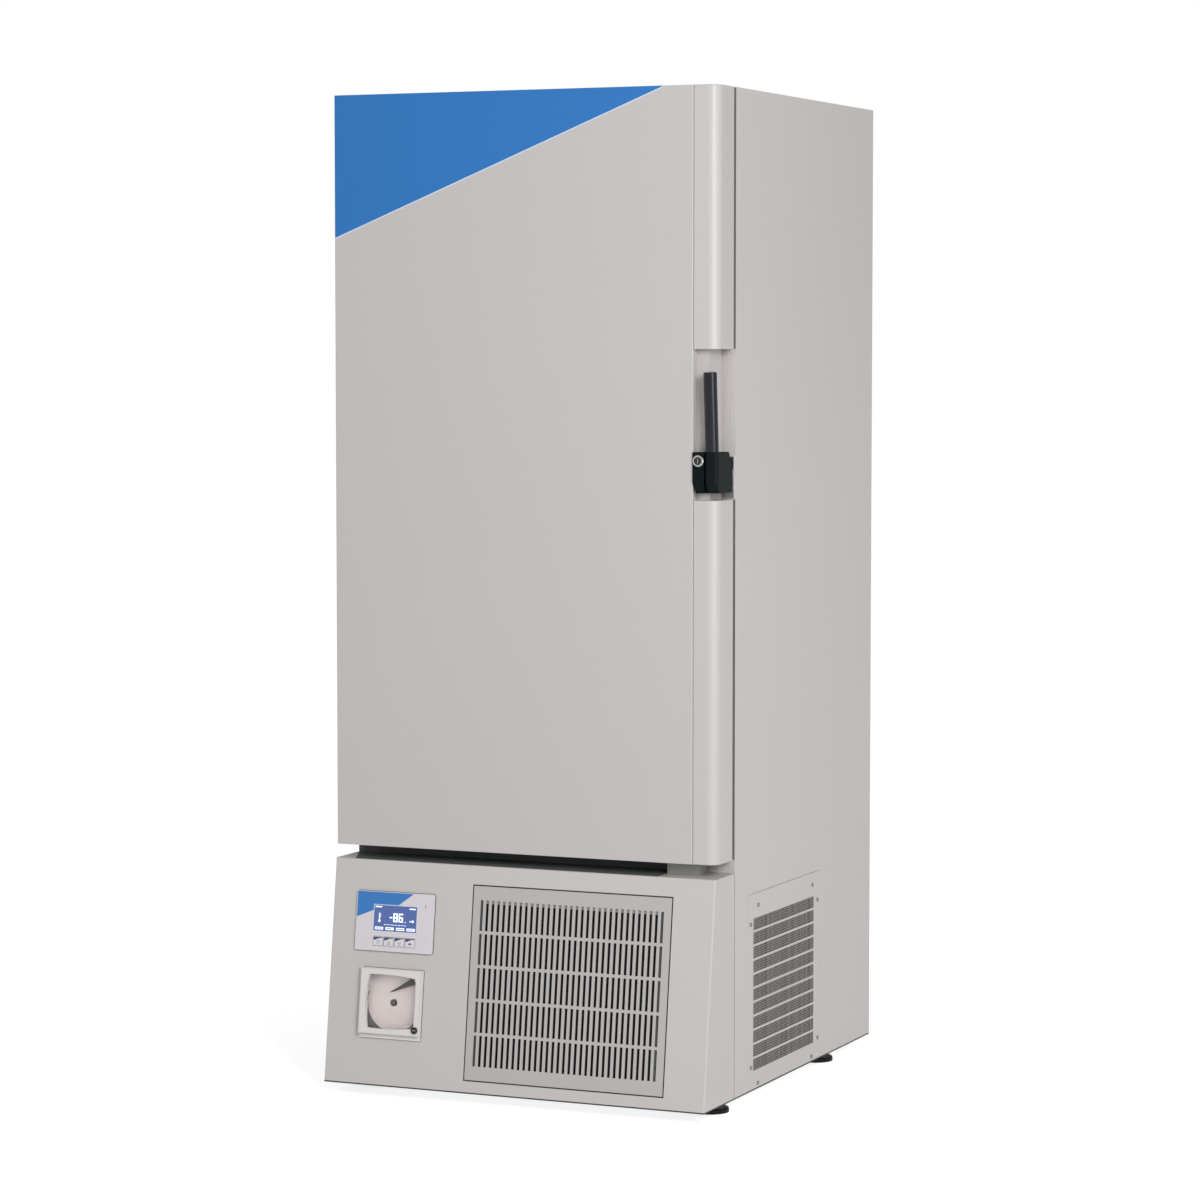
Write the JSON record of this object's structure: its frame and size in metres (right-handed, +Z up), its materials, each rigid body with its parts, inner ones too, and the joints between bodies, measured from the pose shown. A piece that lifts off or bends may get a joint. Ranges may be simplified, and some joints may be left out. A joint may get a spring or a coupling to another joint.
{
  "type": "ultra low temperature upright freezer",
  "caption": "Upright laboratory freezer with an insulated door, side lever latch, inner doors, and a sloped base front holding a slotted grille, a control panel and a circular chart recorder.",
  "frame": {"origin": "on the floor, at the middle of the whole footprint", "axes": "+X to the right seen from the front, +Y to the back, +Z up; the door faces -Y"},
  "size_m": [0.8132, 0.9056, 1.912],
  "materials": {
    "cabinet_paint": "smooth satin powder coat, light warm grey",
    "door_paint": "smooth satin powder coat, light warm grey with a blue corner field",
    "trim_paint": "smooth satin powder coat, lighter warm grey",
    "base_paint": "smooth satin powder coat, light warm grey",
    "zinc_steel": "plain zinc coated sheet",
    "stainless_steel": "fine brushed",
    "insulating_foam": "closed cell foam",
    "copper_tube": "drawn copper tube",
    "collar_plastic": "moulded, matte white grey",
    "inner_door_plastic": "smooth white",
    "seal_rubber": "soft matte",
    "latch_black": "fine textured black",
    "lock_chrome": "polished",
    "rest_plastic": "translucent pale plastic",
    "filter_mat": "open fibre mat in a frame",
    "bezel_white": "smooth white moulding",
    "screen_blue": "dark blue screen with pale figures",
    "chart_paper": "printed paper disc",
    "pen_grey": "dark grey",
    "clear_window": "clear pane",
    "plant_black": "black enamel",
    "fin_aluminium": "thin bare fins"
  },
  "bodies": {
    "cabinet": {"side_panel_left": "cabinet_paint", "side_panel_right": "cabinet_paint", "top_panel": "cabinet_paint", "front_frame": "cabinet_paint", "service_panel_left": "cabinet_paint", "service_panel_right": "cabinet_paint", "base_front_cover": "base_paint", "back_panel": "zinc_steel", "base_frame": "zinc_steel", "rear_cover": "zinc_steel", "electrics_box": "zinc_steel", "fan_shroud": "zinc_steel", "levelling_feet": "zinc_steel", "inner_liner": "stainless_steel", "shelves": "stainless_steel", "shelf_supports": "stainless_steel", "hinge_cabinet_leaves": "stainless_steel", "latch_keeper": "stainless_steel", "panel_screws": "stainless_steel", "insulation_foam": "insulating_foam", "cascade_exchanger": "insulating_foam", "evaporator_coil": "copper_tube", "refrigerant_pipework": "copper_tube", "breaker_strip": "collar_plastic", "compressor_mounts": "seal_rubber", "mains_inlet": "latch_black", "door_rest": "rest_plastic", "control_bezel": "bezel_white", "recorder_case": "bezel_white", "display_module": "screen_blue", "compressor_high_stage": "plant_black", "compressor_low_stage": "plant_black", "fan_motor": "plant_black", "condenser_coil": "fin_aluminium"},
    "door": {"door_skin": "door_paint", "door_foam": "insulating_foam", "door_liner": "collar_plastic", "door_gasket": "seal_rubber", "handle_trim_upper": "trim_paint", "handle_trim_lower": "trim_paint", "hinge_door_leaves": "stainless_steel", "latch_housing": "latch_black"},
    "handle": {"handle_lever": "latch_black"},
    "key_lock": {"key_lock": "lock_chrome"},
    "fan": {"fan_blade": "pen_grey"},
    "grille": {"front_grille": "base_paint", "air_filter": "filter_mat"},
    "recorder_cover": {"recorder_cover": "bezel_white", "recorder_window": "clear_window"},
    "chart": {"chart_disc": "chart_paper"},
    "pen": {"pen_arm": "pen_grey"},
    "recorder_knob": {"recorder_knob": "latch_black"},
    "inner_door_1": {"inner_door_1": "inner_door_plastic"},
    "inner_door_2": {"inner_door_2": "inner_door_plastic"},
    "inner_door_3": {"inner_door_3": "inner_door_plastic"},
    "inner_door_4": {"inner_door_4": "inner_door_plastic"},
    "key_1": {"display_key_1": "bezel_white"},
    "key_2": {"display_key_2": "bezel_white"},
    "key_3": {"display_key_3": "bezel_white"},
    "key_4": {"display_key_4": "bezel_white"}
  },
  "joints": [
    {"name": "door_swing", "type": "hinge", "parent": "cabinet", "child": "door", "pos_m": [-0.3976, -0.3011, 1.194], "axis": [0, 0, -1], "range_deg": [0, 110]},
    {"name": "handle_pull", "type": "hinge", "parent": "door", "child": "handle", "pos_m": [0.3904, -0.3591, 1.19], "axis": [1, 0, 0], "range_deg": [0, 60]},
    {"name": "key_turn", "type": "hinge", "parent": "door", "child": "key_lock", "pos_m": [0.3674, -0.3911, 1.224], "axis": [0, 1, 0], "range_deg": [0, 90]},
    {"name": "inner_door_1_swing", "type": "hinge", "parent": "cabinet", "child": "inner_door_1", "pos_m": [-0.2936, -0.2671, 0.7145], "axis": [0, 0, -1], "range_deg": [0, 82.5]},
    {"name": "inner_door_2_swing", "type": "hinge", "parent": "cabinet", "child": "inner_door_2", "pos_m": [-0.2936, -0.2671, 1.0235], "axis": [0, 0, -1], "range_deg": [0, 82.5]},
    {"name": "inner_door_3_swing", "type": "hinge", "parent": "cabinet", "child": "inner_door_3", "pos_m": [-0.2936, -0.2671, 1.3325], "axis": [0, 0, -1], "range_deg": [0, 82.5]},
    {"name": "inner_door_4_swing", "type": "hinge", "parent": "cabinet", "child": "inner_door_4", "pos_m": [-0.2936, -0.2671, 1.6415], "axis": [0, 0, -1], "range_deg": [0, 82.5]},
    {"name": "grille_tilt", "type": "hinge", "parent": "cabinet", "child": "grille", "pos_m": [0.1159, -0.44248, 0.05262], "axis": [1, 0, 0], "range_deg": [0, 60]},
    {"name": "fan_spin", "type": "hinge", "parent": "cabinet", "child": "fan", "pos_m": [0.1159, -0.2721, 0.232], "axis": [0, 1, 0], "continuous": true},
    {"name": "recorder_cover_swing", "type": "hinge", "parent": "cabinet", "child": "recorder_cover", "pos_m": [-0.312, -0.4395, 0.18397], "axis": [0, -0.1283, -0.9917], "range_deg": [0, 105]},
    {"name": "recorder_knob_turn", "type": "hinge", "parent": "recorder_cover", "child": "recorder_knob", "pos_m": [-0.1911, -0.45039, 0.13486], "axis": [0, -0.9917, 0.1283], "range_deg": [0, 90]},
    {"name": "chart_spin", "type": "hinge", "parent": "cabinet", "child": "chart", "pos_m": [-0.2486, -0.42096, 0.17996], "axis": [0, 0.9917, -0.1283], "continuous": true},
    {"name": "pen_swing", "type": "hinge", "parent": "cabinet", "child": "pen", "pos_m": [-0.2036, -0.42015, 0.22523], "axis": [0, -0.9917, 0.1283], "range_deg": [-5, 25]},
    {"name": "key_1_press", "type": "slide", "parent": "cabinet", "child": "key_1", "axis": [0, 0.9917, -0.1283], "range_m": [0, 0.001], "stiffness_N_per_m": 300},
    {"name": "key_2_press", "type": "slide", "parent": "cabinet", "child": "key_2", "axis": [0, 0.9917, -0.1283], "range_m": [0, 0.001], "stiffness_N_per_m": 300},
    {"name": "key_3_press", "type": "slide", "parent": "cabinet", "child": "key_3", "axis": [0, 0.9917, -0.1283], "range_m": [0, 0.001], "stiffness_N_per_m": 300},
    {"name": "key_4_press", "type": "slide", "parent": "cabinet", "child": "key_4", "axis": [0, 0.9917, -0.1283], "range_m": [0, 0.001], "stiffness_N_per_m": 300}
  ],
  "couplings": [
    {"joint": "inner_door_1_swing", "follows": "door_swing", "ratio": 0.75},
    {"joint": "inner_door_2_swing", "follows": "door_swing", "ratio": 0.75},
    {"joint": "inner_door_3_swing", "follows": "door_swing", "ratio": 0.75},
    {"joint": "inner_door_4_swing", "follows": "door_swing", "ratio": 0.75}
  ]
}
